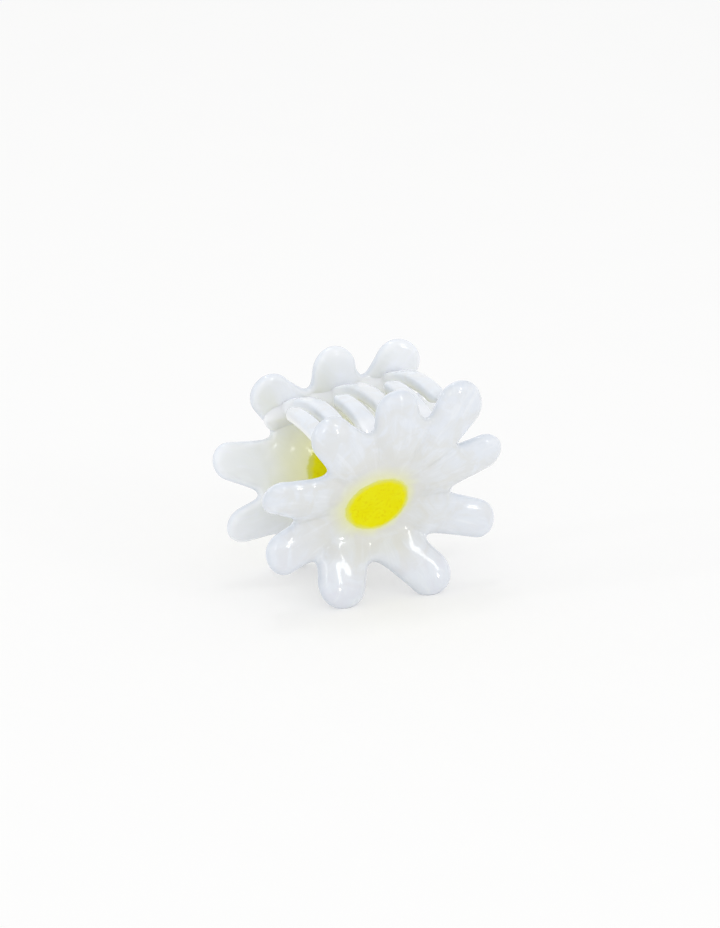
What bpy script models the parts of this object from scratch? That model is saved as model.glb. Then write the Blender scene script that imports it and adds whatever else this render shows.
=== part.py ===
"""Flower hair clip: two mirrored daisies on a sprung hinge, with interlocking teeth along the top.

X runs along the hinge, the front daisy faces -Y, and the clip stands on its lower petals at z = 0.
"""

import math

import bmesh
import bpy
import numpy as np
from mathutils import Matrix, Vector

# Flower sheet
FLOWER_RADIUS = 0.030
SHEET = 0.0026
EDGE_ROUND = 0.0011
DISC_HEIGHT = 0.02365
DISC_RADIUS = 0.0077
BLUNT_TIP = 0.0296
PETAL_CROWN = 0.0006
CROWN_START = 0.0090
CROWN_RUN = 0.0080
GAP = 0.0003

# Petals from the lower left round over the top: angle from the top, distance of the tip, half width
PETALS = (
    (-153.1, 0.0262, 0.0062),
    (-112.3, 0.0297, 0.0048),
    (-78.1, 0.0309, 0.0042),
    (-36.6, 0.0292, 0.0053),
    (5.1, 0.0289, 0.0055),
    (38.7, 0.0351, 0.0059),
    (68.5, 0.0318, 0.0047),
    (107.1, 0.0322, 0.0045),
    (145.6, 0.0281, 0.0054),
)

# The notch after each petal: distance from the disc centre, turn from half way to the next petal
NOTCHES = (
    (0.0189, 2.6),
    (0.0186, -1.9),
    (0.0154, 2.1),
    (0.0185, 3.5),
    (0.0221, 4.8),
    (0.0202, -1.2),
    (0.0162, 2.0),
    (0.0153, 3.7),
    (0.0129, 8.4),
)

# Bend of the sheet, as shares of the flower radius: terms of the height above the disc centre to the
# powers 0 to 5, then how far the sides cup and how much less they do so higher up
BEND = (0.327, 0.441, 0.620, -1.218, -0.557, 0.995)
SIDE_CUP = 0.052
SIDE_TWIST = 0.124

# Combs: teeth stand at these steps of the pitch, and the bars rise a little to the right
TOOTH_PITCH = 0.0065
TOOTH_SHIFT = 0.00075
TOOTH_WIDTH = 0.0048
TOOTH_DEPTH = 0.0036
TOOTH_REACH = 0.0050
BAR_HALF_LENGTH = 0.0191
BAR_CENTRE = 0.0009
BAR_MIDDLE = 0.0413
BAR_RISE = 0.13
BAR_HEIGHT = 0.0039
BAR_DEPTH = 0.0022
FRONT_TEETH = (-2.5, -0.5, 1.5)
BACK_TEETH = (-1.5, 0.5, 2.5)

# Hinge
HINGE_HEIGHT = 0.0134
PIN_RADIUS = 0.0008
PIN_HALF_LENGTH = 0.0121
HEAD_RADIUS = 0.0014
HEAD_LENGTH = 0.0007
EAR_WIDTH = 0.0024
EAR_RADIUS = 0.0032
EAR_FOOT = 0.0040
FRONT_EAR_X = 0.0069
BACK_EAR_X = 0.0098
BORE_RADIUS = 0.0011

# Spring
WIRE = 0.0009
COIL_RADIUS = 0.0023
COIL_HALF_LENGTH = 0.0040
COIL_TURNS = 5
CURL_POINTS = 9
LEG_DROP = 0.0042

FRONT = -1
BACK = 1

# How far the disc and the hinge stand to the right of the middle of the clip, as the petals are uneven
MIDDLE_SHIFT = -0.000336


def clear_scene():
    for obj in list(bpy.data.objects):
        bpy.data.objects.remove(obj, do_unlink=True)


def material(name, colour, roughness, metallic=0.0):
    made = bpy.data.materials.new(name)
    made.use_nodes = True
    shader = made.node_tree.nodes["Principled BSDF"]
    shader.inputs["Base Color"].default_value = (*colour, 1)
    shader.inputs["Roughness"].default_value = roughness
    shader.inputs["Metallic"].default_value = metallic
    return made


def add_object(name, mesh_data, finish):
    obj = bpy.data.objects.new(name, mesh_data)
    bpy.context.scene.collection.objects.link(obj)
    obj.data.materials.append(finish)
    return obj


def finish_mesh(bm, name, finish, sharp_angle=40):
    bmesh.ops.recalc_face_normals(bm, faces=bm.faces)
    data = bpy.data.meshes.new(name)
    bm.to_mesh(data)
    bm.free()
    data.shade_smooth()
    data.set_sharp_from_angle(angle=math.radians(sharp_angle))
    return add_object(name, data, finish)


def cut(obj, cutter, operation="DIFFERENCE"):
    """Adds a Boolean to the object and turns the other one into a hidden helper."""
    cutter.hide_render = True
    cutter.display_type = "WIRE"
    step = obj.modifiers.new(cutter.name, "BOOLEAN")
    step.operation = operation
    step.solver = "EXACT"
    step.object = cutter


def loft(bm, loops, closed=False):
    """Quads between neighbouring closed loops of points; closed joins the last loop to the first."""
    rows = [[bm.verts.new(p) for p in loop] for loop in loops]
    pairs = list(zip(rows, rows[1:]))
    if closed:
        pairs.append((rows[-1], rows[0]))
    for lower, upper in pairs:
        count = len(lower)
        for i in range(count):
            j = (i + 1) % count
            bm.faces.new((lower[i], lower[j], upper[j], upper[i]))
    return rows


def sheet_out(x, z):
    """Distance of the sheet's middle surface from the middle plane: an S bend, cupped across its width."""
    u = x / FLOWER_RADIUS
    v = (z - DISC_HEIGHT) / FLOWER_RADIUS
    bend = sum(term * v**power for power, term in enumerate(BEND))
    across = SIDE_CUP * u**2 - SIDE_TWIST * u**2 * v
    return FLOWER_RADIUS * (bend + across)


def sheet_slopes(x, z):
    step = 1e-5
    slope_x = (sheet_out(x + step, z) - sheet_out(x - step, z)) / (2 * step)
    slope_z = (sheet_out(x, z + step) - sheet_out(x, z - step)) / (2 * step)
    return slope_x, slope_z


def sheet_point(side, x, z, lift=0.0):
    """A point on the sheet, moved by lift along its outward normal."""
    slope_x, slope_z = sheet_slopes(x, z)
    normal = Vector((-slope_x, 1, -slope_z)).normalized()
    point = Vector((x, sheet_out(x, z), z)) + normal * float(lift)
    point.y *= side
    return point


def inner_face(x, z):
    """Distance from the middle plane to the sheet's inner face, measured level."""
    slope_x, slope_z = sheet_slopes(x, z)
    return sheet_out(x, z) - SHEET / 2 * math.hypot(1, slope_x, slope_z)


def notch_angles():
    """Angle of the notch after each petal, which is also the crease between two petals."""
    angles = np.array([petal[0] for petal in PETALS])
    following = np.append(angles[1:], angles[0] + 360)
    return (angles + following) / 2 + np.array([turn for _, turn in NOTCHES])


def from_disc(angle, distance):
    turned = math.radians(angle)
    return np.array((math.sin(turned), math.cos(turned))) * distance


def flower_outline():
    """Points of the outline round the disc centre: a round lobe per petal, a rounded notch between two."""
    lobes = []
    for angle, tip, half_width in PETALS:
        along = from_disc(angle, 1)
        across = from_disc(angle + 90, 1)
        end = half_width * min(1, tip / BLUNT_TIP)
        centre = along * (tip - end)
        turns = [math.radians(t) for t in np.linspace(-90, 90, 11)]
        lobes.append(
            [centre + along * end * math.cos(t) + across * half_width * math.sin(t) for t in turns]
        )
    points = []
    for i, notch_angle in enumerate(notch_angles()):
        lobe = lobes[i]
        notch = from_disc(notch_angle, NOTCHES[i][0])
        start = notch + (lobe[-1] - notch) * 0.5
        end = notch + (lobes[(i + 1) % len(lobes)][0] - notch) * 0.5
        points += lobe
        for t in (0.1, 0.3, 0.5, 0.7, 0.9):
            points.append(start * (1 - t) ** 2 + notch * 2 * t * (1 - t) + end * t**2)
    return np.array(points)


def inset(points, distance):
    """The closed outline moved inwards by a distance."""
    ahead = np.roll(points, -1, axis=0) - points
    behind = points - np.roll(points, 1, axis=0)
    run = ahead / np.linalg.norm(ahead, axis=1)[:, None] + behind / np.linalg.norm(behind, axis=1)[:, None]
    run /= np.linalg.norm(run, axis=1)[:, None]
    inward = np.column_stack((run[:, 1], -run[:, 0]))
    return points + inward * distance


def disc_ring(angles, radius):
    """A circle lying in the leaning sheet, seen square to the middle plane."""
    foreshortened = math.cos(math.atan(BEND[1]))
    return np.column_stack((np.sin(angles) * radius, np.cos(angles) * radius * foreshortened))


def crown(points):
    """How far each petal swells between the creases beside it, fading to nothing towards the disc."""
    creases = notch_angles()
    petals = np.array([petal[0] for petal in PETALS])
    stops = np.append(creases[-1] - 360, np.column_stack((petals, creases)).ravel())
    from_middle = np.append(1, np.tile((0, 1), len(petals)))
    angles = np.degrees(np.arctan2(points[:, 0], points[:, 1]))
    angles = (angles - stops[0]) % 360 + stops[0]
    off = np.interp(angles, stops, from_middle)
    far = np.hypot(points[:, 0], points[:, 1])
    return PETAL_CROWN * np.cos(off * math.pi / 2) * np.clip((far - CROWN_START) / CROWN_RUN, 0, 1)


def sheet_loops(side, rings):
    """Loops of points on the sheet, from (outline, half thickness) pairs."""
    loops = []
    for ring, half in rings:
        swell = crown(ring) if half == SHEET / 2 else np.zeros(len(ring))
        loops.append([sheet_point(side, x, z + DISC_HEIGHT, half + s) for (x, z), s in zip(ring, swell)])
    return loops


def flower(name, side, finish):
    """The daisy: one bent sheet with rounded edges and a hole for the disc."""
    rim = flower_outline()
    shoulder = inset(rim, EDGE_ROUND * 0.3)
    face_edge = inset(rim, EDGE_ROUND)
    angles = np.arctan2(rim[:, 0], rim[:, 1])
    hole = disc_ring(angles, DISC_RADIUS + GAP)
    half = SHEET / 2
    face = [(hole + (face_edge - hole) * share, half) for share in (0, 0.17, 0.34, 0.5, 0.66, 0.83, 1)]
    face.append((shoulder, half * 0.72))
    reverse = [(ring, -height) for ring, height in face[::-1]]
    bm = bmesh.new()
    loft(bm, sheet_loops(side, face + [(rim, 0)] + reverse), closed=True)
    made = finish_mesh(bm, name, finish)
    cut(made, floor_cutter(f"{name}_floor"))
    return made


def floor_cutter(name):
    """A slab below the floor, which leaves a small flat on each petal that the clip stands on."""
    bm = bmesh.new()
    bmesh.ops.create_cube(bm, size=1)
    bmesh.ops.scale(bm, vec=(0.08, 0.08, 0.01), verts=bm.verts)
    bmesh.ops.translate(bm, vec=(0, 0, -0.005), verts=bm.verts)
    data = bpy.data.meshes.new(name)
    bm.to_mesh(data)
    bm.free()
    helper = bpy.data.objects.new(name, data)
    bpy.context.scene.collection.objects.link(helper)
    return helper


def disc(name, side, finish):
    """The yellow centre: a plug that goes right through the sheet and follows its bend."""
    angles = np.linspace(0, 2 * math.pi, 32, endpoint=False)
    half = SHEET / 2
    rounding = 0.0004
    profile = ((0.5, half), (1 - rounding / DISC_RADIUS, half), (1, half - rounding))
    front = [(disc_ring(angles, DISC_RADIUS * share), height) for share, height in profile]
    reverse = [(ring, -height) for ring, height in front[::-1]]
    bm = bmesh.new()
    rows = loft(bm, sheet_loops(side, front + reverse))
    for row, height in ((rows[0], half), (rows[-1], -half)):
        centre = bm.verts.new(sheet_point(side, 0, DISC_HEIGHT, height))
        for i, vert in enumerate(row):
            bm.faces.new((centre, vert, row[(i + 1) % len(row)]))
    return finish_mesh(bm, name, finish)


def rounded_section(width, height, corner):
    """Eight points of a rectangle with its corners cut."""
    a = width / 2
    b = height / 2
    c = corner
    upper = ((a, b - c), (a - c, b), (c - a, b), (-a, b - c))
    lower = ((-a, c - b), (c - a, -b), (a - c, -b), (a, c - b))
    return upper + lower


def cap_ends(bm, rows):
    for row in (rows[0], rows[-1]):
        bm.faces.new(row)


def bar_out(x, z):
    """Distance of the bar's middle from the middle plane, seated on the sheet."""
    return inner_face(x, z) - GAP - BAR_DEPTH / 2


def bar_height(x):
    return BAR_MIDDLE + BAR_RISE * x


def comb_bar(side, name, finish):
    """The bar that is bonded along the inside of the upper petals."""
    loops = []
    stations = BAR_CENTRE + np.linspace(-BAR_HALF_LENGTH, BAR_HALF_LENGTH, 15)
    for x in stations:
        end = max(0, abs(x - BAR_CENTRE) - BAR_HALF_LENGTH + BAR_HEIGHT / 2) / (BAR_HEIGHT / 2)
        height = BAR_HEIGHT * (1 - 0.45 * end**2)
        loop = []
        for depth, z in rounded_section(BAR_DEPTH, height, 0.0006):
            out = bar_out(x, bar_height(x) + z) + depth
            loop.append((x, side * out, bar_height(x) + z))
        loops.append(loop)
    bm = bmesh.new()
    cap_ends(bm, loft(bm, loops))
    return finish_mesh(bm, name, finish)


def tooth(side, name, x, finish):
    """A finger on an arc round the hinge, from the bar over to the other half, with a round tip."""
    root_out = bar_out(x, bar_height(x))
    swing = math.hypot(root_out, bar_height(x) - HINGE_HEIGHT)
    root = math.asin(root_out / swing)
    tip = -math.asin(TOOTH_REACH / swing)
    tip_turn = TOOTH_DEPTH * 0.8 / swing
    turns = list(np.linspace(root, tip + tip_turn, 7))
    sizes = list(np.linspace(1, 0.88, 7))
    for end in (0.45, 0.8, 0.97):
        turns.append(tip + tip_turn * (1 - end))
        sizes.append(0.88 * math.sqrt(1 - end**2))
    loops = []
    for turn, size in zip(turns, sizes):
        loop = []
        for across, high in rounded_section(TOOTH_WIDTH * size, TOOTH_DEPTH * size, 0.0008 * size):
            y = side * (swing + high) * math.sin(turn)
            loop.append((x + across, y, HINGE_HEIGHT + (swing + high) * math.cos(turn)))
        loops.append(loop)
    bm = bmesh.new()
    cap_ends(bm, loft(bm, loops))
    return finish_mesh(bm, name, finish)


def comb(name, side, places, finish):
    bar = comb_bar(side, name, finish)
    for number, place in enumerate(places):
        helper = tooth(side, f"{name}_tooth_{number}", TOOTH_SHIFT + place * TOOTH_PITCH, finish)
        cut(bar, helper, "UNION")
    return bar


def ear(name, side, x, finish):
    """A hinge ear: a round boss on the axis, with a foot that seats on the inside of the sheet."""
    outline = []
    for turn in np.linspace(-75, 75, 9):
        angle = math.radians(turn)
        outline.append((-EAR_RADIUS * math.cos(angle), EAR_RADIUS * math.sin(angle)))
    for z in np.linspace(EAR_FOOT, -EAR_FOOT, 5):
        outline.append((inner_face(x, HINGE_HEIGHT + z) - GAP, z))
    bm = bmesh.new()
    points = [(x - EAR_WIDTH / 2, side * out, HINGE_HEIGHT + z) for out, z in outline]
    base = bm.faces.new([bm.verts.new(p) for p in points])
    grown = bmesh.ops.extrude_face_region(bm, geom=[base])
    moved = [item for item in grown["geom"] if isinstance(item, bmesh.types.BMVert)]
    bmesh.ops.translate(bm, vec=(EAR_WIDTH, 0, 0), verts=moved)
    made = finish_mesh(bm, name, finish)
    cut(made, bore_cutter(f"{name}_bore", x))
    return made


def bore_cutter(name, x):
    bm = bmesh.new()
    bmesh.ops.create_cone(
        bm, cap_ends=True, segments=20, radius1=BORE_RADIUS, radius2=BORE_RADIUS, depth=EAR_WIDTH * 2
    )
    bmesh.ops.rotate(bm, matrix=Matrix.Rotation(math.pi / 2, 3, "Y"), verts=bm.verts)
    bmesh.ops.translate(bm, vec=(x, 0, HINGE_HEIGHT), verts=bm.verts)
    data = bpy.data.meshes.new(name)
    bm.to_mesh(data)
    bm.free()
    helper = bpy.data.objects.new(name, data)
    bpy.context.scene.collection.objects.link(helper)
    return helper


def pin(name, finish):
    """A steel rod turned about the hinge axis, with a formed head at each end."""
    shoulder = PIN_HALF_LENGTH - HEAD_LENGTH
    half = (
        (0.0, PIN_RADIUS),
        (shoulder, PIN_RADIUS),
        (shoulder, HEAD_RADIUS),
        (PIN_HALF_LENGTH - HEAD_LENGTH * 0.4, HEAD_RADIUS),
        (PIN_HALF_LENGTH, HEAD_RADIUS * 0.6),
    )
    profile = [(-x, radius) for x, radius in half[:0:-1]] + list(half)
    angles = np.linspace(0, 2 * math.pi, 20, endpoint=False)
    loops = [
        [(x, radius * math.cos(a), HINGE_HEIGHT + radius * math.sin(a)) for a in angles]
        for x, radius in profile
    ]
    bm = bmesh.new()
    cap_ends(bm, loft(bm, loops))
    return finish_mesh(bm, name, finish)


def leg_end(x):
    """Where a spring leg ends, just off the inside of the sheet: distance from the middle plane, height."""
    z = HINGE_HEIGHT - LEG_DROP
    slope_x, slope_z = sheet_slopes(x, z)
    return inner_face(x, z) - (WIRE / 2 + GAP) * math.hypot(1, slope_x, slope_z), z


def spring_points():
    """A leg down the back half, the curls along the pin, and a leg down the front half."""
    out, height = leg_end(COIL_HALF_LENGTH)
    drop = HINGE_HEIGHT - height
    touch = math.atan2(out, -drop) - math.acos(COIL_RADIUS / math.hypot(out, drop))
    sweep = 2 * touch + 2 * math.pi * COIL_TURNS
    count = round(CURL_POINTS * sweep / (2 * math.pi))
    coil = []
    for i in range(count + 1):
        share = i / count
        turn = sweep * share - touch
        y = -COIL_RADIUS * math.sin(turn)
        z = HINGE_HEIGHT + COIL_RADIUS * math.cos(turn)
        coil.append(Vector((COIL_HALF_LENGTH * (2 * share - 1), y, z)))
    back_end = Vector((-COIL_HALF_LENGTH, out, height))
    front_end = Vector((COIL_HALF_LENGTH, -out, height))
    shares = (0.33, 0.67, 1)
    back_leg = [coil[0].lerp(back_end, share) for share in shares]
    front_leg = [coil[-1].lerp(front_end, share) for share in shares]
    return back_leg[::-1] + coil + front_leg


def spring(name, finish):
    """The torsion spring, one unbroken wire; prints its least gap to itself."""
    points = spring_points()
    curve = bpy.data.curves.new(name, "CURVE")
    curve.dimensions = "3D"
    curve.bevel_depth = WIRE / 2
    curve.bevel_resolution = 1
    curve.use_fill_caps = True
    line = curve.splines.new("POLY")
    line.points.add(len(points) - 1)
    for slot, place in zip(line.points, points):
        slot.co = (*place, 1)
    apart = min(
        (points[i] - points[j]).length
        for i in range(len(points))
        for j in range(i + CURL_POINTS // 2 + 1, len(points))
    )
    print(f"{name}: least gap to itself {1000 * (apart - WIRE):.2f} mm")
    return add_object(name, curve, finish)


def hang_on_axis(name, pieces):
    """Parents the pieces to an empty on the hinge axis without moving them."""
    axis = bpy.data.objects.new(name, None)
    bpy.context.scene.collection.objects.link(axis)
    axis.location = (0, 0, HINGE_HEIGHT)
    bpy.context.view_layer.update()
    for piece in pieces:
        piece.parent = axis
        piece.matrix_parent_inverse = axis.matrix_world.inverted()
    return axis


def half_clip(label, side, teeth, ear_x, pearl, yellow):
    pieces = [
        flower(f"{label}_flower", side, pearl),
        disc(f"{label}_centre", side, yellow),
        comb(f"{label}_comb", side, teeth, pearl),
        ear(f"{label}_ear_left", side, -ear_x, pearl),
        ear(f"{label}_ear_right", side, ear_x, pearl),
    ]
    return hang_on_axis(f"{label}_axis", pieces)


def build():
    clear_scene()
    pearl = material("pearl_acetate", (0.78, 0.81, 0.84), 0.18)
    yellow = material("yellow_acetate", (0.78, 0.70, 0.01), 0.3)
    steel = material("spring_steel", (0.55, 0.55, 0.55), 0.3, 1.0)
    half_clip("front", FRONT, FRONT_TEETH, FRONT_EAR_X, pearl, yellow)
    half_clip("back", BACK, BACK_TEETH, BACK_EAR_X, pearl, yellow)
    pin("hinge_pin", steel)
    spring("torsion_spring", steel)
    for obj in bpy.data.objects:
        if obj.parent is None:
            obj.location.x += MIDDLE_SHIFT


build()
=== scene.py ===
import bpy
import numpy as np
from mathutils import Matrix, Vector


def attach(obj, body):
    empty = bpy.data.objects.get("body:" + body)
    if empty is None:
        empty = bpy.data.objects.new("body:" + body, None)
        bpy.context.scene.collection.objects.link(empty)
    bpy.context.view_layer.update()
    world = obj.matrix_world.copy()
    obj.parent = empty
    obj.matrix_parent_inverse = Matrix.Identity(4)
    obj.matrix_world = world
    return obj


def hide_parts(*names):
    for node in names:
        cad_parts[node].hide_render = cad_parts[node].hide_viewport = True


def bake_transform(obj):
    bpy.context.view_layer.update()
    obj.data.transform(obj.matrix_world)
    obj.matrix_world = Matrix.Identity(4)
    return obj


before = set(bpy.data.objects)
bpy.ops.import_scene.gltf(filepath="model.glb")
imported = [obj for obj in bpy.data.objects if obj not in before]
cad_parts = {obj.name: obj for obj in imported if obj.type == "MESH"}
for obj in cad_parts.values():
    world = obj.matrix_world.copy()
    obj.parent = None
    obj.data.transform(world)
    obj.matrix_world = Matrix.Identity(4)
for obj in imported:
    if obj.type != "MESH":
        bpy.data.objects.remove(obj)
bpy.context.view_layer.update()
print("frame loaded:", len(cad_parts), "solids")

# which way each half faces along Y
sides = {"front": -1, "back": 1}

# the photograph's view: a long lens from the front left, a little above
view = {
    "azimuth": 26.6,
    "elevation": 20.35,
    "roll": 1.11,
    "aim": (-0.000336, 0.0, 0.02365),
    "distance": 1.172,
    "lens": 195.33,
    "shift": (0.00502, 0.02405),
}

lamps = {
    # name: place, size, watts
    "overhead": ((0.00, 0.20, 1.10), (0.25, 0.18), 0.85),
    "left_strip": ((-0.90, 0.10, 0.50), (0.06, 0.40), 0.55),
    "front_left": ((-0.40, -0.80, 0.65), (0.06, 0.40), 0.42),
    "front_right": ((0.46, -0.80, 0.52), (0.10, 0.34), 0.46),
    "front_low": ((0.34, -0.72, 0.16), (0.04, 0.10), 0.16),
}

surroundings = {
    "world": 0.88,
    "floor": (0.95, 0.95, 0.945),
    "floorWhite": 0.45,
    "floorHalf": 2.5,
    "floorGrain": 40.0,
    "grainShade": 0.995,
}


def placeCamera(v):
    # the camera looks along minus toward; roll turns right and up about that line
    a, e, r = np.radians([v["azimuth"], v["elevation"], v["roll"]])
    toward = np.array([-np.sin(a) * np.cos(e), -np.cos(a) * np.cos(e), np.sin(e)])
    right = np.array([np.cos(a), -np.sin(a), 0.0])
    up = np.cross(toward, right)
    right, up = right * np.cos(r) + up * np.sin(r), up * np.cos(r) - right * np.sin(r)
    place = np.array(v["aim"]) + toward * v["distance"]
    pose = np.eye(4)
    pose[:3, :] = np.column_stack((right, up, toward, place))
    camera = bpy.data.objects.new("camera", bpy.data.cameras.new("camera"))
    camera.data.lens = v["lens"]
    camera.data.shift_x, camera.data.shift_y = v["shift"]
    camera.data.clip_start = 0.01
    camera.matrix_world = Matrix(pose.tolist())
    bpy.context.scene.collection.objects.link(camera)
    bpy.context.scene.camera = camera


class Wire:
    # one shader socket; + - * / between wires and numbers add Math nodes
    def __init__(self, tree, socket=None):
        self.tree = tree
        self.socket = socket

    def node(self, kind, settings=None, sockets=None, out=0):
        # any node: its settings first, then the values or links of its sockets; gives one output
        made = self.tree.nodes.new(kind)
        for key, value in (settings or {}).items():
            setattr(made, key, value)
        for key, value in (sockets or {}).items():
            if isinstance(value, Wire):
                self.tree.links.new(value.socket, made.inputs[key])
            else:
                made.inputs[key].default_value = value
        return Wire(self.tree, made.outputs[out])

    def maths(self, operation, first, second=0.0, clamp=False):
        # one Math node
        settings = {"operation": operation, "use_clamp": clamp}
        return self.node("ShaderNodeMath", settings, {0: first, 1: second})

    def __add__(self, other):
        return self.maths("ADD", self, other)

    def __radd__(self, other):
        return self.maths("ADD", other, self)

    def __sub__(self, other):
        return self.maths("SUBTRACT", self, other)

    def __rsub__(self, other):
        return self.maths("SUBTRACT", other, self)

    def __mul__(self, other):
        return self.maths("MULTIPLY", self, other)

    def __rmul__(self, other):
        return self.maths("MULTIPLY", other, self)

    def __truediv__(self, other):
        return self.maths("DIVIDE", self, other)

    def __rtruediv__(self, other):
        return self.maths("DIVIDE", other, self)

    def __pow__(self, other):
        return self.maths("POWER", self, other)

    def inverse(self):
        # one minus this value, held between 0 and 1
        return self.maths("SUBTRACT", 1.0, self, clamp=True)

    def between(self, low, high):
        # 0 below low, 1 above high, a smooth rise between
        return self.node(
            "ShaderNodeMapRange", {"interpolation_type": "SMOOTHSTEP"},
            {"Value": self, "From Min": low, "From Max": high},
        )

    def tint(self, first, second):
        # mixes two colours by this value
        ends = [c if isinstance(c, Wire) else (*c, 1) for c in (first, second)]
        return self.node(
            "ShaderNodeMix", {"data_type": "RGBA"}, {"Factor": self, 6: ends[0], 7: ends[1]}, out=2
        )

    def noise(self, where, scale, detail=2.0, rough=0.5, distortion=0.0):
        # soft random pattern from 0 to 1
        sockets = {"Vector": where, "Scale": scale, "Detail": detail, "Roughness": rough}
        return self.node("ShaderNodeTexNoise", {}, {**sockets, "Distortion": distortion})

    def vector(self, x, y, z):
        # three values as one place
        return self.node("ShaderNodeCombineXYZ", {}, {"X": x, "Y": y, "Z": z})

    def attribute(self, name):
        # a value that the mesh carries at its points
        return self.node("ShaderNodeAttribute", {"attribute_name": name}, out="Fac")


def newFinish(name, fixed):
    # a Principled material: fixed socket values go straight on, the rest is linked by the caller
    made = bpy.data.materials.new(name)
    made.use_nodes = True
    shader = made.node_tree.nodes["Principled BSDF"]
    for key, value in fixed.items():
        shader.inputs[key].default_value = value
    return made, shader, Wire(made.node_tree)


def join(wire, shader, name):
    # links a wire to a socket of the shader
    wire.tree.links.new(wire.socket, shader.inputs[name])


def raysSeen(kit):
    # 1 for what the camera sees, straight or by way of metal or glass
    camera = kit.node("ShaderNodeLightPath", out="Is Camera Ray")
    outputs = camera.socket.node.outputs
    glossy = Wire(kit.tree, outputs["Is Glossy Ray"])
    through = Wire(kit.tree, outputs["Is Transmission Ray"])
    return kit.maths("MAXIMUM", kit.maths("MAXIMUM", camera, glossy), through)


def lightStage():
    # an even white room, the lamps turned to the clip, and a floor that the camera sees partly as plain white
    scene = bpy.context.scene
    scene.view_settings.view_transform = "Standard"
    world = bpy.data.worlds.new("soft_room")
    world.use_nodes = True
    scene.world = world
    kit = Wire(world.node_tree)
    background = world.node_tree.nodes["Background"]
    strength = raysSeen(kit) * (1 - surroundings["world"]) + surroundings["world"]
    background.inputs["Color"].default_value = (1, 1, 1, 1)
    kit.tree.links.new(strength.socket, background.inputs["Strength"])
    for name, (place, size, watts) in lamps.items():
        lamp = bpy.data.lights.new(name, "AREA")
        lamp.shape = "RECTANGLE"
        lamp.size, lamp.size_y = size
        lamp.energy = watts
        obj = bpy.data.objects.new(name, lamp)
        obj.location = place
        aim = Vector(view["aim"]) - Vector(place)
        obj.rotation_euler = aim.to_track_quat("-Z", "Y").to_euler()
        scene.collection.objects.link(obj)
    half = surroundings["floorHalf"]
    mesh = bpy.data.meshes.new("floor")
    corners = [(-half, -half, 0), (half, -half, 0), (half, half, 0), (-half, half, 0)]
    mesh.from_pydata(corners, [], [(0, 1, 2, 3)])
    floor = bpy.data.objects.new("floor", mesh)
    scene.collection.objects.link(floor)
    finish, shader, kit = newFinish("floor_paper", {"Roughness": 0.9, "Specular IOR Level": 0.1})
    place = kit.node("ShaderNodeTexCoord", out="Object")
    grain = kit.noise(place, surroundings["floorGrain"]).between(0.3, 0.7)
    pale = surroundings["floor"]
    shaded = tuple(c * surroundings["grainShade"] for c in pale)
    join(grain.tint(pale, shaded), shader, "Base Color")
    output = finish.node_tree.nodes["Material Output"]
    white = kit.node("ShaderNodeEmission", {}, {"Color": (1, 1, 1, 1), "Strength": 1.0})
    shown = raysSeen(kit) * surroundings["floorWhite"]
    paper = Wire(kit.tree, shader.outputs[0])
    mixed = kit.node("ShaderNodeMixShader", {}, {"Fac": shown, 1: paper, 2: white})
    kit.tree.links.new(mixed.socket, output.inputs["Surface"])
    mesh.materials.append(finish)


def turnedOut(points, faces):
    # the faces, reversed where the volume that they enclose comes out negative
    corners = points[np.array([f[:3] for f in faces])]
    volume = np.einsum("ij,ij->i", corners[:, 0], np.cross(corners[:, 1], corners[:, 2])).sum()
    return faces if volume > 0 else [f[::-1] for f in faces]


def addPiece(name, points, faces, body, finish, replaced, extras=None):
    # makes the mesh with its faces outwards, and hangs it on its body
    faces = turnedOut(points, faces)
    mesh = bpy.data.meshes.new(name)
    mesh.from_pydata((points + (sheetForm["middleShift"], 0, 0)).tolist(), [], faces)
    mesh.shade_smooth()
    for key, values in (extras or {}).items():
        layer = mesh.attributes.new(key, "FLOAT", "POINT")
        layer.data.foreach_set("value", np.asarray(values, np.float32).ravel())
    piece = bpy.data.objects.new(name, mesh)
    bpy.context.scene.collection.objects.link(piece)
    mesh.materials.append(finish)
    if body:
        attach(piece, body)
    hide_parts(*replaced)
    print(f"{name}: {len(points)} points, {len(faces)} faces")
    return piece


def ringFaces(rows, cols, joinEnds=False):
    # quads between neighbouring closed rings; joinEnds also joins the last ring to the first
    index = np.arange(rows * cols).reshape(rows, cols)
    lower = index if joinEnds else index[:-1]
    upper = np.roll(index, -1, axis=0) if joinEnds else index[1:]
    quads = np.stack((lower, np.roll(lower, -1, 1), np.roll(upper, -1, 1), upper), axis=-1)
    return quads.reshape(-1, 4).tolist()


def cappedSkin(rings):
    # rings of points with a pole in the middle of the first and of the last ring
    rows, cols = rings.shape[:2]
    points = np.vstack((rings.reshape(-1, 3), rings[0].mean(0), rings[-1].mean(0)))
    first = np.arange(cols)
    last = first + (rows - 1) * cols
    low = np.stack((np.full(cols, rows * cols), np.roll(first, -1), first), axis=-1)
    high = np.stack((np.full(cols, rows * cols + 1), last, np.roll(last, -1)), axis=-1)
    return points, ringFaces(rows, cols) + low.tolist() + high.tolist()


def stepLengths(loop):
    # how far it is from each point of the closed loop to the next
    return np.linalg.norm(np.roll(loop, -1, axis=0) - loop, axis=1)


def spread(loop, lengths, count):
    # the closed loop at count points that are even along the lengths given for its steps
    closed = np.vstack((loop, loop[:1]))
    run = np.concatenate(([0], np.cumsum(lengths)))
    steps = np.linspace(0, run[-1], count, endpoint=False)
    return np.column_stack([np.interp(steps, run, closed[:, k]) for k in (0, 1)])


def blurred(loop, soften):
    # the closed loop smoothed along its length by a bell curve of width soften
    waves = np.fft.fftfreq(len(loop), stepLengths(loop).mean())
    keep = np.exp(-2 * (np.pi * waves * soften) ** 2)[:, None]
    return np.fft.ifft(np.fft.fft(loop, axis=0) * keep, axis=0).real


def evenLoop(loop, count, soften):
    # the closed loop at even steps, then smoothed
    return blurred(spread(loop, stepLengths(loop), count), soften)


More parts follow.
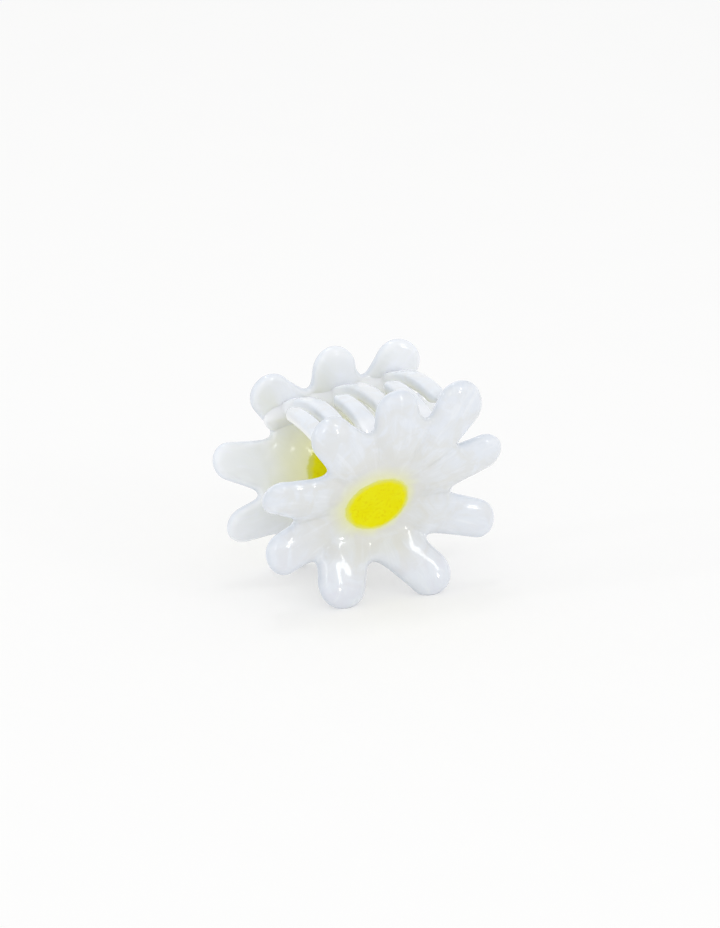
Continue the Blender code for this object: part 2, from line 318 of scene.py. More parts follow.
def inset(loop, distance):
    # each point of the closed loop moved inwards, square to the line through its neighbours
    run = np.roll(loop, -1, axis=0) - np.roll(loop, 1, axis=0)
    run /= np.linalg.norm(run, axis=1)[:, None]
    return loop + np.column_stack((run[:, 1], -run[:, 0])) * distance


def relaxed(grid, rounds):
    # spreads the rings between the first and the last so that no two lines cross: each point goes to the mean
    # of its neighbours, weighed by how far apart the lines are the other way (an elliptic grid)
    grid = grid.copy()
    for _ in range(rounds):
        down, here, up = grid[:-2], grid[1:-1], grid[2:]
        ahead, behind = np.roll(here, -1, axis=1), np.roll(here, 1, axis=1)
        around = (ahead - behind) / 2
        across = (up - down) / 2
        wide = (across**2).sum(-1, keepdims=True)
        tall = (around**2).sum(-1, keepdims=True)
        slant = (around * across).sum(-1, keepdims=True)
        corner = (np.roll(up, -1, axis=1) - np.roll(up, 1, axis=1)
                  - np.roll(down, -1, axis=1) + np.roll(down, 1, axis=1)) / 4
        mean = wide * (ahead + behind) + tall * (up + down) - 2 * slant * corner
        grid[1:-1] = mean / (2 * (wide + tall))
    return grid


plateForm = {"besideHole": 0.03, "fullness": 0.8}


def pillowRings(outer, inner, half, roundIn, faceSteps, rimSteps, rounds=0):
    # a plate with a hole: out along the upper face, round the edge as a flattened half circle,
    # and back underneath
    edge = inset(outer, roundIn)
    shares = np.linspace(0, 1, faceSteps + 1)
    face = relaxed(inner + (edge - inner) * shares[:, None, None], rounds)[:-1]
    near = plateForm["besideHole"]
    beside = face[:1] * (1 - near) + face[1:2] * near  # keeps the shading crisp at the hole
    face = np.concatenate((face[:1], beside, face[1:]))
    turns = np.radians(np.linspace(90, -90, rimSteps))
    rim = np.stack([inset(outer, roundIn * (1 - np.cos(t) ** plateForm["fullness"])) for t in turns])
    flat = np.concatenate((face, rim, face[::-1]))
    tops = np.full(len(face), half)
    heights = np.concatenate((tops, half * np.sin(turns), -tops))
    rimShare = np.concatenate((0 * tops, np.cos(turns), 0 * tops))
    return flat, heights, rimShare


# the bent sheet that both daisies are cut from, in metres and shares of its radius
sheetForm = {
    "radius": 0.030,
    "thickness": 0.0026,
    "edgeRound": 0.0019,
    "discHeight": 0.02365,
    "discRadius": 0.0077,
    "bend": (0.327, 0.441, 0.620, -1.218, -0.557, 0.995),
    "sideCup": 0.052,
    "sideTwist": 0.124,
    "crown": 0.0011,
    "innerCrown": 0.00025,
    "crownStart": 0.0085,
    "crownRun": 0.0080,
    "pillowWidth": 0.0046,
    "creaseStart": 0.0105,
    "creasePast": 0.001,
    "creaseSoft": 0.0003,
    "ripple": 0.00005,
    "rippleWaves": ((1310, 420), (-770, 1120), (350, -1630), (-1580, -660)),
    "rippleStarts": (0.4, 1.9, 3.1, 5.2),
    "holeInset": 0.00025,
    "middleShift": -0.000336,
    "faceRings": 30,
    "edgeRings": 15,
    "gridBlur": 0.011,
    "gridRounds": 1000,
}

# how much the leaning disc is shortened, seen square to the middle plane
discLean = float(np.cos(np.arctan(sheetForm["bend"][1])))

# petals from the lower left round over the top, and the notch after each of them
petals = {
    "angles": (-153.1, -112.3, -78.1, -36.6, 5.1, 38.7, 68.5, 107.1, 145.6),
    "tips": (0.0262, 0.0297, 0.0309, 0.0292, 0.0289, 0.0351, 0.0318, 0.0322, 0.0281),
    "halfWidths": (0.0062, 0.0048, 0.0042, 0.0053, 0.0055, 0.0059, 0.0047, 0.0045, 0.0054),
    "notches": (0.0189, 0.0186, 0.0154, 0.0185, 0.0221, 0.0202, 0.0162, 0.0153, 0.0129),
    "notchTurns": (2.6, -1.9, 2.1, 3.5, 4.8, -1.2, 2.0, 3.7, 8.4),
    "bluntTip": 0.0296,
    "soften": 0.0006,
    "tipSteps": 41,
    "notchSteps": 21,
    "outlinePoints": 864,
    "fineSteps": 4,
    "edgeWeight": 20,
}


def sheetOut(x, z):
    # distance from the middle plane: an S of five powers down the height, cupped and twisted
    # by the square of the width
    s = sheetForm
    u = x / s["radius"]
    v = (z - s["discHeight"]) / s["radius"]
    bend = np.polynomial.polynomial.polyval(v, s["bend"])
    return s["radius"] * (bend + s["sideCup"] * u**2 - s["sideTwist"] * u**2 * v)


def sheetSlopes(x, z):
    # how fast that distance grows along x and along z
    s = sheetForm
    u = x / s["radius"]
    v = (z - s["discHeight"]) / s["radius"]
    slopeX = 2 * u * (s["sideCup"] - s["sideTwist"] * v)
    steepness = np.polynomial.polynomial.polyder(s["bend"])
    slopeZ = np.polynomial.polynomial.polyval(v, steepness) - s["sideTwist"] * u**2
    return slopeX, slopeZ


def onSheet(side, x, z, lift):
    # the sheet's middle surface, moved by lift along its outward normal
    slopeX, slopeZ = sheetSlopes(x, z)
    normal = np.stack((-slopeX, np.ones_like(slopeX), -slopeZ), axis=-1)
    normal /= np.linalg.norm(normal, axis=-1)[..., None]
    points = np.stack((x, sheetOut(x, z), z), axis=-1) + normal * np.asarray(lift)[..., None]
    points[..., 1] *= side
    return points


def innerFace(x, z):
    # distance of the sheet's inside from the middle plane: half the thickness nearer, along the slope
    slopeX, slopeZ = sheetSlopes(x, z)
    return sheetOut(x, z) - sheetForm["thickness"] / 2 * np.sqrt(1 + slopeX**2 + slopeZ**2)


def creaseAngles():
    # half way to the next petal, turned a little, is where the notch and the crease lie
    angles = np.array(petals["angles"])
    following = np.append(angles[1:], angles[0] + 360)
    return (angles + following) / 2 + np.array(petals["notchTurns"])


def heading(degrees, distance=1.0):
    # a point at that distance, the turn counted from straight up
    turn = np.radians(degrees)
    return np.stack((np.sin(turn), np.cos(turn)), axis=-1) * np.asarray(distance)[..., None]


def daisyOutline():
    # per petal a half ellipse round its tip, and between two petals a curve pulled towards the notch
    angles, tips, widths = (np.array(petals[k]) for k in ("angles", "tips", "halfWidths"))
    ends = widths * np.minimum(1, tips / petals["bluntTip"])
    turns = np.radians(np.linspace(-90, 90, petals["tipSteps"]))[None, :, None]
    along = heading(angles)[:, None]
    across = heading(angles + 90)[:, None]
    lobes = heading(angles, tips - ends)[:, None] + along * ends[:, None, None] * np.cos(turns)
    lobes = lobes + across * widths[:, None, None] * np.sin(turns)
    notch = heading(creaseAngles(), np.array(petals["notches"]))[:, None]
    start = (notch + lobes[:, -1:]) / 2
    finish = (notch + np.roll(lobes, -1, axis=0)[:, :1]) / 2
    t = np.linspace(0, 1, petals["notchSteps"])[None, :, None]
    curve = start * (1 - t) ** 2 + notch * 2 * t * (1 - t) + finish * t**2
    loop = np.concatenate((lobes, curve), axis=1).reshape(-1, 2)
    even = evenLoop(loop, petals["outlinePoints"] * petals["fineSteps"], petals["soften"])
    # even along the inner line of the rounded edge, so that the notches get more points
    edge = inset(even, sheetForm["edgeRound"])
    lengths = stepLengths(even) + stepLengths(edge) * petals["edgeWeight"]
    return spread(even, lengths, petals["outlinePoints"])


def discRing(turns, radius):
    # a circle lying in the leaning sheet, seen square to the middle plane
    return np.stack((np.sin(turns) * radius, np.cos(turns) * radius * discLean), axis=-1)


def fromDisc(flat):
    # how far each point of the sheet is from the middle of the disc, undoing the lean
    return np.hypot(flat[..., 0], flat[..., 1] / discLean)


def pastDisc(flat):
    # 0 at the disc, rising evenly to 1 where the petals are free of it
    return np.clip((np.linalg.norm(flat, axis=-1) - sheetForm["crownStart"]) / sheetForm["crownRun"], 0, 1)


def petalPillow(flat, rim):
    # a petal swells as one minus the square of the way left to go, from its outline and creases inwards,
    # and the swelling fades towards the disc; the two distances are joined by their inverse fourth powers
    s = sheetForm
    least = 1e-6
    spots = flat.reshape(-1, 2)
    apart = (spots**2).sum(1)[:, None] + (rim**2).sum(1)[None, :] - 2 * spots @ rim.T
    toRim = np.sqrt(np.maximum(apart.min(1), 0))
    ways = heading(creaseAngles())
    along = np.clip(spots @ ways.T, s["creaseStart"], np.array(petals["notches"]) + s["creasePast"])
    toCrease = np.linalg.norm(spots[:, None] - along[..., None] * ways[None], axis=-1).min(1)
    toCrease = np.hypot(toCrease, s["creaseSoft"]) - s["creaseSoft"]
    nearest = (np.maximum(toRim, least) ** -4 + np.maximum(toCrease, least) ** -4) ** -0.25
    left = 1 - np.clip(nearest / s["pillowWidth"], 0, 1)
    fade = pastDisc(spots)
    return ((1 - left**2) * fade**2 * (3 - 2 * fade)).reshape(flat.shape[:-1])


def ripples(flat):
    # the slight waves of a hand polished sheet: four sines that cross at odd angles and die out at the disc
    s = sheetForm
    waves = np.sin(flat @ np.array(s["rippleWaves"]).T + np.array(s["rippleStarts"])).sum(-1)
    return waves * pastDisc(flat) * s["ripple"] / 2


def makeDaisy(half, finish):
    # a plate between the petals' outline and the hole, laid on the bent sheet,
    # its faces lifted by the swelling and the ripples
    s = sheetForm
    rim = daisyOutline()
    rounder = blurred(rim, s["gridBlur"])
    turns = np.arctan2(rounder[:, 0], rounder[:, 1])
    hole = discRing(turns, s["discRadius"] - s["holeInset"])
    flat, heights, rimShare = pillowRings(
        rim, hole, s["thickness"] / 2, s["edgeRound"], s["faceRings"], s["edgeRings"], s["gridRounds"]
    )
    share = heights / (s["thickness"] / 2)
    crown = np.where(share > 0, s["crown"], s["innerCrown"]) * share
    lift = heights[:, None] + petalPillow(flat, rim) * crown[:, None] + ripples(flat) * share[:, None]
    points = onSheet(sides[half], flat[..., 0], flat[..., 1] + s["discHeight"], lift)
    points[..., 2] = np.maximum(points[..., 2], 0)  # the flats that the clip stands on
    rows, cols = points.shape[:2]
    reverse = np.clip(0.5 - heights / s["thickness"], 0, 1)
    extras = {
        "rimShare": np.repeat(rimShare, cols),
        "reverse": np.repeat(reverse, cols),
        "fromDisc": fromDisc(flat),
    }
    faces = ringFaces(rows, cols, joinEnds=True)
    addPiece(
        f"{half}_daisy", points.reshape(-1, 3), faces,
        f"{half}_half", finish, [f"{half}_flower"], extras,
    )


discForm = {
    "dome": 0.00008,
    "proud": 0.000008,
    "overlap": 0.0002,
    "rounding": 0.000004,
    "turns": 96,
    "faceRings": 14,
    "faceSpan": (0.04, 0.99),
    "edgeRings": 6,
}


def makeCentre(half, finish):
    # rings of growing radius on the domed outer face, over a small round edge, and back underneath;
    # the dome falls off as the square of the radius
    s = sheetForm
    d = discForm
    turns = np.linspace(0, 2 * np.pi, d["turns"], endpoint=False)
    thick = s["thickness"] / 2 + d["proud"]
    radius = s["discRadius"] - s["holeInset"] + d["overlap"]
    shares = np.append(np.linspace(*d["faceSpan"], d["faceRings"]), 1 - d["rounding"] / radius)
    bends = np.radians(np.linspace(90, 0, d["edgeRings"]))[1:]  # the first would lie on the last share
    radii = np.concatenate((shares * radius, radius - d["rounding"] * (1 - np.cos(bends))))
    tops = np.concatenate((thick + d["dome"] * (1 - shares**2), thick - d["rounding"] * (1 - np.sin(bends))))
    radii = np.concatenate((radii, radii[::-1]))
    lifts = np.concatenate((tops, -tops[::-1]))
    flat = discRing(turns[None, :], radii[:, None])
    lift = np.repeat(lifts[:, None], d["turns"], axis=1)
    rings = onSheet(sides[half], flat[..., 0], flat[..., 1] + s["discHeight"], lift)
    points, faces = cappedSkin(rings)
    extras = {"fromDisc": np.append(fromDisc(flat), (0, 0))}
    addPiece(
        f"{half}_disc", points, faces, f"{half}_half", finish, [f"{half}_centre"], extras
    )


combForm = {
    "pitch": 0.0065,
    "toothShift": 0.00075,
    "toothWidth": 0.0048,
    "toothDepth": 0.0036,
    "reach": {"front": 0.0050, "back": 0.0088},
    "barEnds": {"front": (-0.0142, 0.0197), "back": (-0.0165, 0.0197)},
    "barMiddle": 0.0413,
    "barRise": 0.13,
    "barDepth": 0.0022,
    "moundDrop": 0.0017,
    "moundHalf": 0.0034,
    "moundDepth": 0.0016,
    "moundBuried": 0.00012,
    "moundBack": 0.0010,
    "moundEnd": 0.995,
    "meltPower": 2.0,
    "rootIn": 0.0020,
    "rootFlare": 0.35,
    "taper": 0.12,
    "tipLength": 0.8,
    "tipBlunt": 0.06,
    "squareness": 4.5,
    "seat": 0.0003,
    "teeth": {"front": (-2.5, -0.5, 1.5), "back": (-1.5, 0.5, 2.5)},
    "edgeTooth": {"moveIn": 0.0007, "rootMoveIn": 0.0018, "slim": 0.9, "flare": 0.1},
    "acrossSteps": 41,
    "alongSteps": 120,
    "arcRings": 40,
    "tipRings": 16,
    "sectionPoints": 36,
    "grain": 0.00020,
    "ease": 0.5,
    "easeRounds": 5,
}

hingeForm = {
    "height": 0.0134,
    "pinRadius": 0.0008,
    "pinHalf": 0.0121,
    "headRadius": 0.0014,
    "headLength": 0.0007,
    "headArc": (0.15, 0.12),
    "headRings": 10,
    "rodRings": 28,
    "pinTurns": 40,
    "earWidth": 0.0024,
    "earRadius": 0.0032,
    "earFoot": 0.0040,
    "earX": {"front": 0.0069, "back": 0.0098},
    "bore": 0.0011,
    "earRound": 0.0005,
    "earSoften": 0.00025,
    "bossTurn": 75,
    "bossSteps": 31,
    "footSteps": 25,
    "footBuried": 0.00015,
    "earPoints": 120,
    "earFaceRings": 6,
    "earEdgeRings": 9,
}


def softSquare(count, power):
    # a rounded square of half width 1: cosine and sine raised to two over the power, with their signs kept
    turns = np.linspace(0, 2 * np.pi, count, endpoint=False)
    wave = np.stack((np.cos(turns), np.sin(turns)), axis=-1)
    return np.sign(wave) * np.abs(wave) ** (2 / power)


def barOut(x, z):
    # distance of the bar's middle from the middle plane: seated just off the inside of the sheet
    return innerFace(x, z) - combForm["seat"] - combForm["barDepth"] / 2


def barHeightAt(x):
    # the bar climbs evenly along x
    return combForm["barMiddle"] + combForm["barRise"] * x


def combBar(half):
    # a bell shaped mound along X, climbing a little: its height above the sheet is the bar's depth times
    # one minus the square of the way across, to a power, and its back is buried in the sheet
    c = combForm
    across = np.linspace(-1, 1, c["acrossSteps"])
    bell = (1 - across**2) ** c["meltPower"]
    section = np.concatenate((across, across[::-1]))
    buried = np.full(c["acrossSteps"], -c["moundBack"])
    proud = np.concatenate((bell * c["moundDepth"] - c["moundBuried"], buried))
    left, right = c["barEnds"][half]
    along = np.sin(np.linspace(-np.pi / 2, np.pi / 2, c["alongSteps"]))
    x = (left + right + along * (right - left)) / 2
    over = np.clip((np.abs(along) - 1) * (right - left) / 2 / c["moundHalf"] + 1, 0, c["moundEnd"])
    size = np.sqrt(1 - over**2)
    z = barHeightAt(x)[:, None] - c["moundDrop"] + section[None, :] * c["moundHalf"] * size[:, None]
    grid = np.broadcast_to(x[:, None], z.shape)
    out = innerFace(grid, z) - np.where(proud > 0, proud * size[:, None], proud)
    return cappedSkin(np.stack((grid, sides[half] * out, z), axis=-1))


def combTooth(half, x, slim=1.0, flare=combForm["rootFlare"], rootMoveIn=0.0):
    # a soft square section carried on an arc about the hinge, easing in to a round tip; at its root it is
    # flared by a fifth power and moved in by a square
    c = combForm
    rings = c["arcRings"]
    rise = barHeightAt(x) - hingeForm["height"]
    out = barOut(np.array(x), np.array(barHeightAt(x)))
    swing = np.hypot(out, rise)
    root = np.arcsin(out / swing) + c["rootIn"] / swing
    tip = -np.arcsin(c["reach"][half] / swing)
    tipTurn = c["toothDepth"] * c["tipLength"] / swing
    run = np.linspace(0, 1, rings)
    bends = np.sin(np.linspace(0, np.pi / 2 - c["tipBlunt"], c["tipRings"]))[1:]
    turns = np.concatenate((root + (tip + tipTurn - root) * run, tip + tipTurn * (1 - bends)))
    sizes = np.concatenate((1 - c["taper"] * run, (1 - c["taper"]) * np.sqrt(1 - bends**2)))
    widths = sizes.copy()
    widths[:rings] += flare * (1 - run) ** 5
    middle = np.full(len(sizes), x)
    middle[:rings] += rootMoveIn * (1 - run) ** 2
    section = softSquare(c["sectionPoints"], c["squareness"])
    wide = middle[:, None] + section[None, :, 0] * c["toothWidth"] * slim / 2 * widths[:, None]
    far = swing + section[None, :, 1] * c["toothDepth"] / 2 * sizes[:, None]
    y = sides[half] * far * np.sin(turns)[:, None]
    z = hingeForm["height"] + far * np.cos(turns)[:, None]
    return cappedSkin(np.stack((wide, y, z), axis=-1))


def makeComb(half, finish):
    # the bar and its teeth are melted into one skin, and the seams between them eased
    c = combForm
    parts = [combBar(half)]
    for number in c["teeth"][half]:
        x = c["toothShift"] + number * c["pitch"]
        if half == "front" and number == min(c["teeth"][half]):  # this one stands at the petal's edge
            e = c["edgeTooth"]
            parts.append(combTooth(half, x + e["moveIn"], e["slim"], e["flare"], e["rootMoveIn"]))
        else:
            parts.append(combTooth(half, x))
    points = np.zeros((0, 3))
    faces = []
    for partPoints, partFaces in parts:
        faces += [[i + len(points) for i in f] for f in turnedOut(partPoints, partFaces)]
        points = np.vstack((points, partPoints))
    raw = bpy.data.meshes.new("raw_comb")
    raw.from_pydata(points.tolist(), [], faces)
    helper = bpy.data.objects.new("raw_comb", raw)
    bpy.context.scene.collection.objects.link(helper)
    melt = helper.modifiers.new("melt", "REMESH")
    melt.mode = "VOXEL"
    melt.voxel_size = c["grain"]
    ease = helper.modifiers.new("ease", "SMOOTH")
    ease.factor = c["ease"]
    ease.iterations = c["easeRounds"]
    graph = bpy.context.evaluated_depsgraph_get()
    melted = helper.evaluated_get(graph).to_mesh()
    skin = np.empty(len(melted.vertices) * 3)
    melted.vertices.foreach_get("co", skin)
    skinFaces = [list(p.vertices) for p in melted.polygons]
    bpy.data.objects.remove(helper, do_unlink=True)
    addPiece(
        f"{half}_teeth", skin.reshape(-1, 3), skinFaces, f"{half}_half", finish, [f"{half}_comb"]
    )


def makeEar(half, hand, finish):
    # a round boss on the axis running into a foot on the sheet, pierced by the bore, with eased edges
    h = hingeForm
    x = h["earX"][half] * (-1 if hand == "left" else 1)
    turns = np.radians(np.linspace(-h["bossTurn"], h["bossTurn"], h["bossSteps"]))
    boss = np.column_stack((-h["earRadius"] * np.cos(turns), h["earRadius"] * np.sin(turns)))
    heights = np.linspace(h["earFoot"], -h["earFoot"], h["footSteps"])
    seat = innerFace(np.full(h["footSteps"], x), h["height"] + heights) + h["footBuried"]
    foot = np.column_stack((seat, heights))
    outer = evenLoop(np.vstack((boss, foot)), h["earPoints"], h["earSoften"])
    at = np.arctan2(outer[:, 0], outer[:, 1])
    bore = np.column_stack((np.sin(at), np.cos(at))) * h["bore"]
    flat, depths, _ = pillowRings(
        outer, bore, h["earWidth"] / 2, h["earRound"], h["earFaceRings"], h["earEdgeRings"]
    )
    grid = np.broadcast_to(depths[:, None], flat.shape[:2])
    points = np.stack((x + grid, sides[half] * flat[..., 0], h["height"] + flat[..., 1]), axis=-1)
    rows, cols = points.shape[:2]
    faces = ringFaces(rows, cols, joinEnds=True)
    addPiece(
        f"{half}_lug_{hand}", points.reshape(-1, 3), faces,
        f"{half}_half", finish, [f"{half}_ear_{hand}"],
    )


def makePin(finish):
    # a profile turned about the hinge axis: a rod with a domed head at each end
    h = hingeForm
    shoulder = h["pinHalf"] - h["headLength"]
    start, short = h["headArc"]
    dome = np.linspace(start, np.pi / 2 - short, h["headRings"])
    headX = np.concatenate(([shoulder, shoulder], shoulder + h["headLength"] * np.sin(dome)))
    headR = np.concatenate(([h["pinRadius"], h["headRadius"]], h["headRadius"] * np.cos(dome)))
    rod = np.linspace(-shoulder, shoulder, h["rodRings"] + 2)[1:-1]
    x = np.concatenate((-headX[::-1], rod, headX))
    radius = np.concatenate((headR[::-1], np.full(h["rodRings"], h["pinRadius"]), headR))[:, None]
    turns = np.linspace(0, 2 * np.pi, h["pinTurns"], endpoint=False)
    grid = np.broadcast_to(x[:, None], (len(x), h["pinTurns"]))
    rings = np.stack((grid, radius * np.cos(turns), h["height"] + radius * np.sin(turns)), axis=-1)
    points, faces = cappedSkin(rings)
    addPiece("axle_pin", points, faces, "back_half", finish, ["hinge_pin"])


springForm = {
    "wire": 0.0009,
    "radius": 0.0023,
    "half": 0.0040,
    "turns": 5,
    "legDrop": 0.0042,
    "lift": 0.0003,
    "endSize": 0.7,
    "coilPoints": 260,
    "legPoints": 14,
    "wireSides": 16,
}


def springPath():
    # a straight leg on the back half, a helix along the pin, a straight leg on the front half;
    # each leg leaves the coil where the line to its end touches it
    p = springForm
    z = np.array(hingeForm["height"] - p["legDrop"])
    slopeX, slopeZ = sheetSlopes(np.array(p["half"]), z)
    away = (p["wire"] / 2 + p["lift"]) * np.sqrt(1 + slopeX**2 + slopeZ**2)
    out = innerFace(np.array(p["half"]), z) - away
    touch = np.arctan2(out, -p["legDrop"]) - np.arccos(p["radius"] / np.hypot(out, p["legDrop"]))
    sweep = 2 * touch + 2 * np.pi * p["turns"]
    share = np.linspace(0, 1, p["coilPoints"])
    turn = sweep * share - touch
    coil = np.column_stack((p["half"] * (2 * share - 1), -p["radius"] * np.sin(turn),
                            hingeForm["height"] + p["radius"] * np.cos(turn)))
    backEnd = np.array((-p["half"], out, z))
    frontEnd = np.array((p["half"], -out, z))
    steps = np.linspace(0, 1, p["legPoints"])[1:, None]
    backLeg = coil[0] + (backEnd - coil[0]) * steps
    frontLeg = coil[-1] + (frontEnd - coil[-1]) * steps
    return np.vstack((backLeg[::-1], coil, frontLeg))


def makeSpring(finish):
    # a round wire carried along the path, its ends eased over
    path = springPath()
    run = np.gradient(path, axis=0)
    run /= np.linalg.norm(run, axis=1)[:, None]
    axis = np.array((1.0, 0.0, 0.0))
    first = axis - run * (run @ axis)[:, None]
    first /= np.linalg.norm(first, axis=1)[:, None]
    second = np.cross(run, first)
    turns = np.linspace(0, 2 * np.pi, springForm["wireSides"], endpoint=False)[None, :, None]
    size = np.full(len(path), springForm["wire"] / 2)
    size[[0, -1]] *= springForm["endSize"]
    circle = first[:, None] * np.cos(turns) + second[:, None] * np.sin(turns)
    points, faces = cappedSkin(path[:, None] + size[:, None, None] * circle)
    spring = addPiece("coil_spring", points, faces, None, finish, ["torsion_spring"])
    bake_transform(spring)


pearlLook = {
    "root": (0.735, 0.738, 0.715),
    "body": (0.760, 0.778, 0.795),
    "lilac": (0.775, 0.795, 0.915),
    "milk": (0.785, 0.820, 0.880),
    "streak": (0.840, 0.865, 0.905),
    # painted shade: a darker blue grey laid on the rounded edges
    "rim": (0.640, 0.695, 0.775),
    # a pale bluish pearl, painted much lighter as light that comes through the translucent sheet and fills
    # the shade on its inner faces
    "inside": (0.925, 0.950, 1.000),
    "insideShine": (0.900, 0.920, 1.000),
    # painted yellow light from the disc on the inner face
    "insideGlow": (0.960, 0.955, 0.520),
    "stain": (0.800, 0.800, 0.120),
    # painted yellow light from the disc on the outer face
    "glow": (0.830, 0.830, 0.300),
    "teeth": (0.790, 0.835, 0.900),
    # painted light: warm bounce light from the yellow inside, laid on the teeth's undersides
    "bounceUnder": (0.930, 0.930, 0.880),
    "roughness": 0.22,
    "cloudScale": 150.0,
    "fineScale": 900.0,
    "raysRound": 15,
    "raysAlong": 90,
    "petalSpan": (0.010, 0.026),
    "lilacSpan": (0.004, 0.024),
    "glowReach": 0.0045,
    "glowSlant": 0.0014,
    "glowWander": 0.006,
    "insideReach": 0.0075,
    "stainWander": 0.0008,
    "stainSpan": (-0.0001, 0.0008),
}

# where the painted warm bounce light on the teeth's undersides begins: how far their middle is from the
# hinge, and its change along X
toothSwing = {
    "middle": 0.0312,
    "slope": 0.117,
    "underSpan": (-0.0008, 0.0014),
    "clearOfHinge": (0.016, 0.020),
    "barSpan": (0.0085, 0.0125),
}


def onPiece(kit):
    # Object coordinates, x from the disc's middle, y, z, the height above the disc's middle along the
    # leaning sheet, and the distance from the disc's middle
    place = kit.node("ShaderNodeTexCoord", out="Object")
    cut = kit.node("ShaderNodeSeparateXYZ", {}, {"Vector": place})
    x, y, z = (Wire(kit.tree, cut.socket.node.outputs[axis]) for axis in "XYZ")
    x = x - sheetForm["middleShift"]
    high = (z - sheetForm["discHeight"]) / discLean
    return place, x, y, z, high, kit.maths("SQRT", x * x + high * high)


def pearlFinish(name, flower):
    # milky sheet with shimmer: streaks that run out along the petals, drifting clouds, a yellow stain at the
    # disc's edge,
    # and painted light and shade: the disc's yellow light further out, lighter inner faces, darker rounded
    # edges
    p = pearlLook
    finish, shader, kit = newFinish(name, {
        "IOR": 1.48,
        "Coat Weight": 1.0,
        "Coat Roughness": 0.03,
        "Subsurface Weight": 0.35,
        "Subsurface Radius": (1.0, 1.0, 1.0),
        "Subsurface Scale": 0.0005,
    })
    place, x, y, z, high, far = onPiece(kit)
    rays = kit.vector(x / far * p["raysRound"], high / far * p["raysRound"], far * p["raysAlong"])
    clouds = kit.noise(place, p["cloudScale"], 3.0, 0.55, 1.2)
    streaks = kit.noise(rays, 1.0, 3.0, 0.6, 0.6)
    fine = kit.noise(place, p["fineScale"], 2.0)
    milk = clouds.between(0.38, 0.62)
    shine = (streaks * 0.65 + clouds * 0.35).between(0.50, 0.66)
    outward = far.between(*p["petalSpan"])
    lower = 1 - z.between(*p["lilacSpan"])
    colour = outward.tint(p["root"], p["body"])
    colour = (lower * outward * (0.25 + clouds * 0.6)).tint(colour, p["lilac"])
    colour = (milk * (0.35 + outward * 0.65)).tint(colour, p["milk"])
    colour = (shine * (0.25 + outward * 0.5)).tint(colour, p["streak"])
    if flower:
        rim = kit.attribute("rimShare")
        back = kit.attribute("reverse").between(0.4, 0.6)
        # painted light: the inner faces lighter, standing in for light through the translucent sheet
        colour = (back * 0.75).tint(colour, p["inside"])
        colour = (back * outward * shine * 0.8).tint(colour, p["insideShine"])
        # painted shade on the rounded edges, strongest where the edge faces sideways
        colour = (rim**4 * 0.60).tint(colour, p["rim"])
        # painted light: the disc's yellow light scattered into the sheet round it, further on the upper left
        # and on the inside, where it is lighter
        edge = kit.attribute("fromDisc") - sheetForm["discRadius"]
        lopsided = (x - high) / far
        reach = p["glowReach"] - lopsided * p["glowSlant"]
        reach = reach + (clouds - 0.5) * p["glowWander"] + back * p["insideReach"]
        glow = (edge / reach).inverse() ** 1.5
        colour = (glow * (0.72 + back * 0.16)).tint(colour, back.tint(p["glow"], p["insideGlow"]))
        ragged = edge + (fine - 0.5) * p["stainWander"] + (clouds - 0.5) * p["stainWander"]
        colour = (1 - ragged.between(*p["stainSpan"])).tint(colour, p["stain"])
    else:
        # teeth and lugs: plainer, with painted warm bounce light underneath, and painted lighter near the
        # bar, as the inside of the sheet, against the shade there
        t = toothSwing
        colour = (0.3 + milk * 0.4).tint(colour, p["teeth"])
        rise = z - hingeForm["height"]
        swing = kit.maths("SQRT", y * y + rise * rise)
        # painted warm bounce light on the undersides, away from the hinge
        bounceUnder = (t["middle"] + x * t["slope"] - swing).between(*t["underSpan"])
        colour = (bounceUnder * swing.between(*t["clearOfHinge"]) * 0.9).tint(colour, p["bounceUnder"])
        # painted light: the teeth and bar lighter near the sheet, against the shade where they meet it
        atBar = kit.maths("ABSOLUTE", y).between(*t["barSpan"])
        colour = (atBar * 0.9).tint(colour, p["inside"])
    join(colour, shader, "Base Color")
    join(p["roughness"] - shine * 0.08 + (fine - 0.5) * 0.08, shader, "Roughness")
    bump = kit.node("ShaderNodeBump", {}, {"Height": clouds, "Strength": 0.12, "Distance": 0.0006})
    join(bump, shader, "Normal")
    return finish


yellowLook = {
    "deep": (0.800, 0.690, 0.002),
    "body": (0.850, 0.790, 0.003),
    "light": (0.860, 0.820, 0.008),
    "edge": (0.790, 0.780, 0.150),
    "roughness": 0.30,
    "speckScale": 1100.0,
    "driftScale": 350.0,
    "fray": 0.0010,
    "edgeSlant": 0.0003,
    "edgeSpan": (0.0065, 0.0080),
}


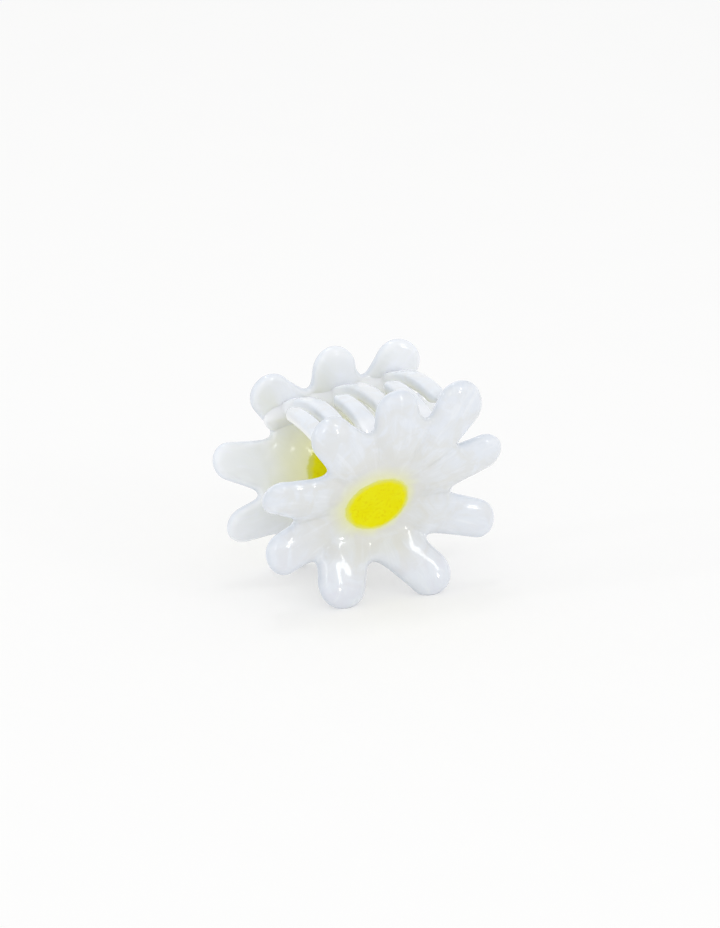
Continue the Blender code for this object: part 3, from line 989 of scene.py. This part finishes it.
def yellowFinish(name):
    # solid yellow with fine mottling, paler where it bleeds into the pearl at its edge
    look = yellowLook
    finish, shader, kit = newFinish(name, {"IOR": 1.48, "Specular IOR Level": 0.03})
    place, x, _, _, high, far = onPiece(kit)
    specks = kit.noise(place, look["speckScale"], 3.0, 0.6)
    drift = kit.noise(place, look["driftScale"], 2.0)
    colour = drift.between(0.35, 0.65).tint(look["body"], look["light"])
    colour = (specks.between(0.50, 0.68) * 0.7).tint(colour, look["deep"])
    lopsided = (x - high) / far
    frayed = kit.attribute("fromDisc") - lopsided * look["edgeSlant"]
    frayed = frayed + (specks - 0.5) * look["fray"] + (drift - 0.5) * look["fray"]
    colour = frayed.between(*look["edgeSpan"]).tint(colour, look["edge"])
    join(colour, shader, "Base Color")
    join(look["roughness"] + (specks - 0.5) * 0.12, shader, "Roughness")
    bump = kit.node("ShaderNodeBump", {}, {"Height": specks, "Strength": 0.10, "Distance": 0.0002})
    join(bump, shader, "Normal")
    return finish


steelLook = {
    "dark": (0.52, 0.52, 0.53),
    "bright": (0.68, 0.68, 0.68),
    "dull": (0.40, 0.39, 0.37),
    "roughness": 0.22,
    "drawn": (120, 2600, 2600),
    "dullScale": 260.0,
}


def steelFinish(name):
    # drawn wire: fine lines along X and a slight change of brightness
    look = steelLook
    finish, shader, kit = newFinish(name, {"Metallic": 1.0})
    place = kit.node("ShaderNodeTexCoord", out="Object")
    drawn = kit.node("ShaderNodeMapping", {}, {"Vector": place, "Scale": look["drawn"]})
    lines = kit.noise(drawn, 1.0, 3.0)
    dull = kit.noise(place, look["dullScale"], 2.0).between(0.45, 0.75)
    colour = lines.between(0.3, 0.7).tint(look["dark"], look["bright"])
    join((dull * 0.35).tint(colour, look["dull"]), shader, "Base Color")
    join(look["roughness"] + lines * 0.16, shader, "Roughness")
    return finish


placeCamera(view)
lightStage()
print("camera and light set")
pearl = pearlFinish("pearl_sheet", True)
pearlPlain = pearlFinish("pearl_teeth", False)
yellow = yellowFinish("yellow_centre")
steel = steelFinish("drawn_steel")
print("finishes made")
for half in sides:
    makeDaisy(half, pearl)
    makeCentre(half, yellow)
    makeComb(half, pearlPlain)
    for hand in ("left", "right"):
        makeEar(half, hand, pearlPlain)
makePin(steel)
makeSpring(steel)
print("pieces made")
